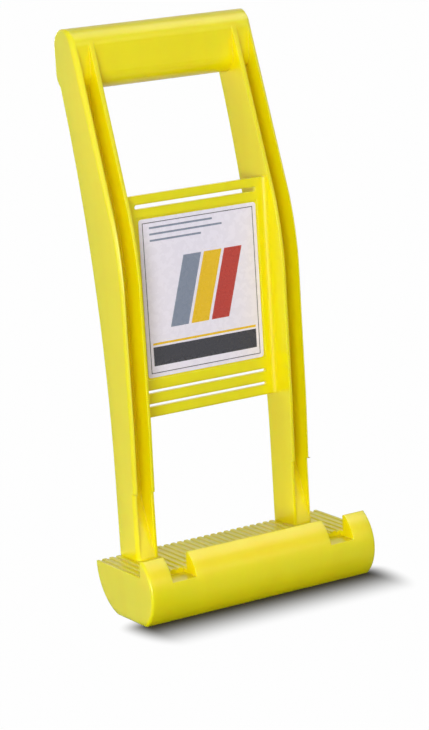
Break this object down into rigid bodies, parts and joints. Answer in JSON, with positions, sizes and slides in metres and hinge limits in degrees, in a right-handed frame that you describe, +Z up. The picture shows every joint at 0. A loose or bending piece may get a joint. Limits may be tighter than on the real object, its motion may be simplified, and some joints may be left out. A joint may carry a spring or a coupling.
{
  "type": "panel carrier",
  "caption": "Moulded plastic hand carrier for sheet material: ribbed foot with a raised lip, channel rails that lean back, a slotted label plate and an oval grip across the top.",
  "frame": {"origin": "on the floor, at the middle of the carrier's box from side to side and from front to back", "axes": "+Z up to the handle, -Y forward to the side where the sheet stands, X along the handle and the lip"},
  "size_m": [0.166, 0.106, 0.359],
  "materials": {
    "yellow_plastic": "bright yellow moulded plastic with a satin surface",
    "label_film": "pale lilac-white printed film, smooth and slightly glossy"
  },
  "bodies": {
    "root": {"carrier_body": "yellow_plastic", "label": "label_film"}
  },
  "joints": []
}
